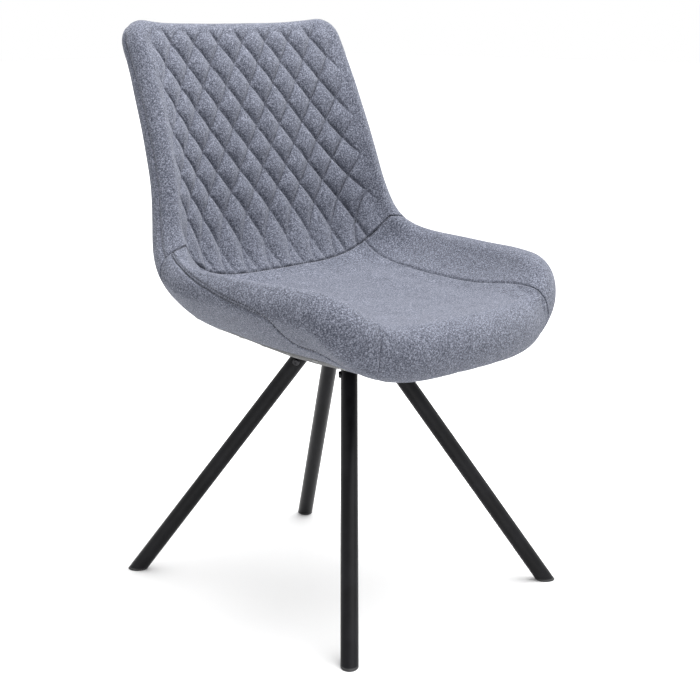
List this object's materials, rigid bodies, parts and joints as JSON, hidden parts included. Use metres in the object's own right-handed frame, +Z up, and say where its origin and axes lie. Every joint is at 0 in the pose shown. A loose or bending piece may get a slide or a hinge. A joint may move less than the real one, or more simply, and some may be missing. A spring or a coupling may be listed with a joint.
{
  "type": "dining chair",
  "caption": "Upholstered bucket dining chair with raised wings, a diamond-quilted back and splayed straight tube legs.",
  "frame": {"origin": "on the floor under the middle of the chair", "axes": "+Z up, -Y towards the front of the seat, +X towards the sitter's left"},
  "size_m": [0.5592, 0.5708, 0.8726],
  "materials": {
    "upholstery_fabric": "heathered blue-grey woven polyester",
    "dust_cloth": "black non-woven cloth",
    "foam": "moulded polyurethane foam",
    "plywood": "bare moulded plywood",
    "black_powder_coat": "satin black powder coat",
    "glide_plastic": "black polyethylene",
    "spacer_plastic": "black nylon",
    "zinc_steel": "zinc plated",
    "black_screw": "black oxide"
  },
  "bodies": {
    "root": {"back_foam": "foam", "dust_cover": "dust_cloth", "foot_glide_front_left": "glide_plastic", "foot_glide_front_right": "glide_plastic", "foot_glide_rear_left": "glide_plastic", "foot_glide_rear_right": "glide_plastic", "front_edge_roll": "foam", "left_back_roll": "foam", "left_side_cover": "upholstery_fabric", "left_wing_foam": "foam", "left_wing_panel": "upholstery_fabric", "left_wing_roll": "foam", "leg_front_left": "black_powder_coat", "leg_front_right": "black_powder_coat", "leg_rear_left": "black_powder_coat", "leg_rear_right": "black_powder_coat", "leg_screws": "black_screw", "leg_spigot_front_left": "zinc_steel", "leg_spigot_front_right": "zinc_steel", "leg_spigot_rear_left": "zinc_steel", "leg_spigot_rear_right": "zinc_steel", "mounting_plate": "black_powder_coat", "plate_screws": "black_screw", "plate_washers": "zinc_steel", "plywood_shell": "plywood", "quilted_back_panel": "upholstery_fabric", "rear_cover": "upholstery_fabric", "rear_padding": "foam", "right_back_roll": "foam", "right_side_cover": "upholstery_fabric", "right_wing_foam": "foam", "right_wing_panel": "upholstery_fabric", "right_wing_roll": "foam", "seat_foam": "foam", "seat_panel": "upholstery_fabric", "spacers": "spacer_plastic", "staples": "zinc_steel", "tee_nuts": "zinc_steel", "top_band": "upholstery_fabric", "top_edge_roll": "foam", "under_padding": "foam"}
  },
  "joints": []
}
